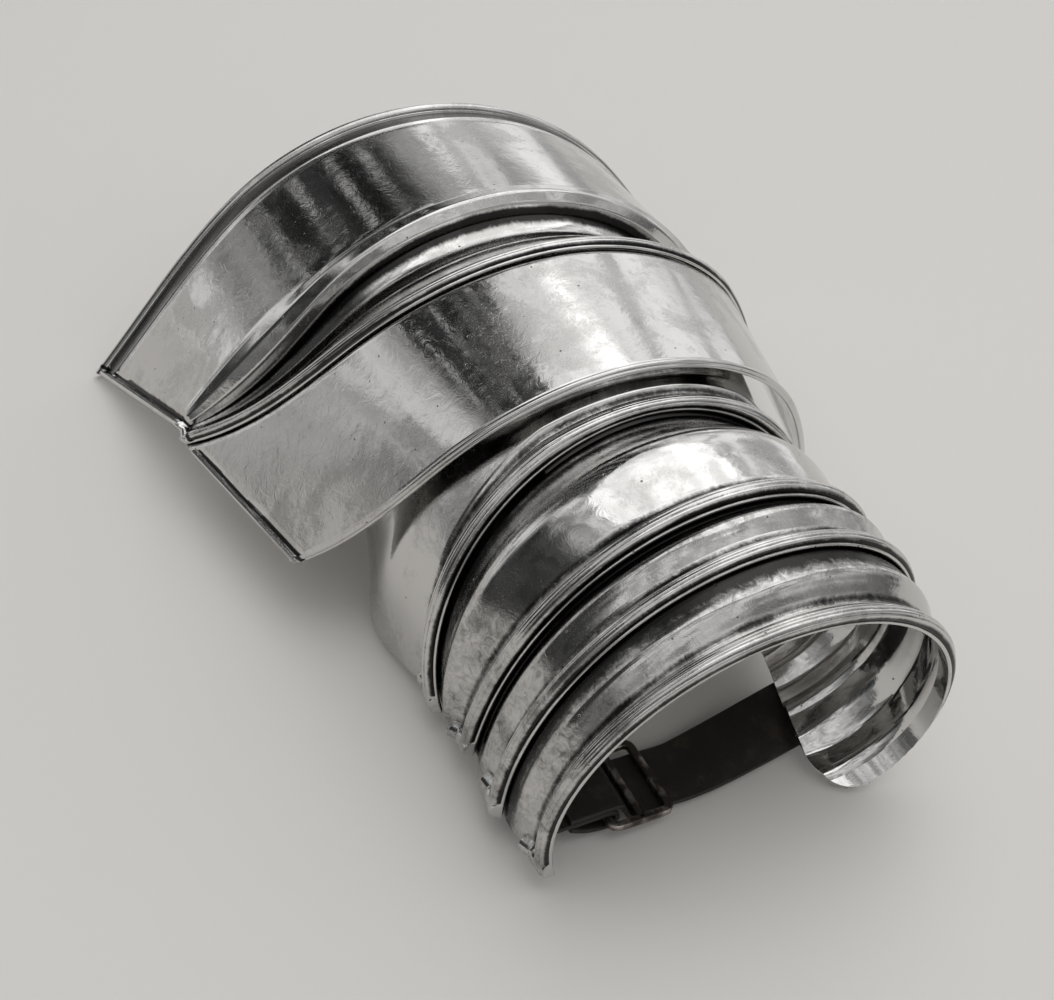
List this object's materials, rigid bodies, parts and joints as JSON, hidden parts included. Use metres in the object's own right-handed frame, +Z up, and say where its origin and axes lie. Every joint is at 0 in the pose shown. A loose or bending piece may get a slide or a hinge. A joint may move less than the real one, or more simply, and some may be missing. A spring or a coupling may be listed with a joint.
{
  "type": "pauldron",
  "caption": "Left steel pauldron: winged shoulder plates with a raised ridge and border, lapped arm lames with rolled rims, and a buckled leather arm strap.",
  "frame": {"origin": "middle of the part's outline on the surface that it lies on, at the height of that surface", "axes": "+Z up, away from the surface; +X from the neck border to the elbow; -Y is the wearer's front"},
  "size_m": [0.3106, 0.2976, 0.1272],
  "materials": {
    "plate_steel": "polished steel with fine scratches and a few stains",
    "strap_leather": "dark brown waxed leather",
    "buckle_steel": "darkened steel, worn bright at the edges"
  },
  "bodies": {
    "root": {"neck_plate": "plate_steel", "shoulder_plate": "plate_steel", "arm_lame_1": "plate_steel", "arm_lame_2": "plate_steel", "arm_lame_3": "plate_steel", "arm_lame_4": "plate_steel", "arm_strap": "strap_leather", "strap_chape": "strap_leather", "buckle_frame": "buckle_steel", "back_rivet_1": "buckle_steel", "back_rivet_2": "buckle_steel", "front_rivet_1": "buckle_steel", "front_rivet_2": "buckle_steel"}
  },
  "joints": []
}
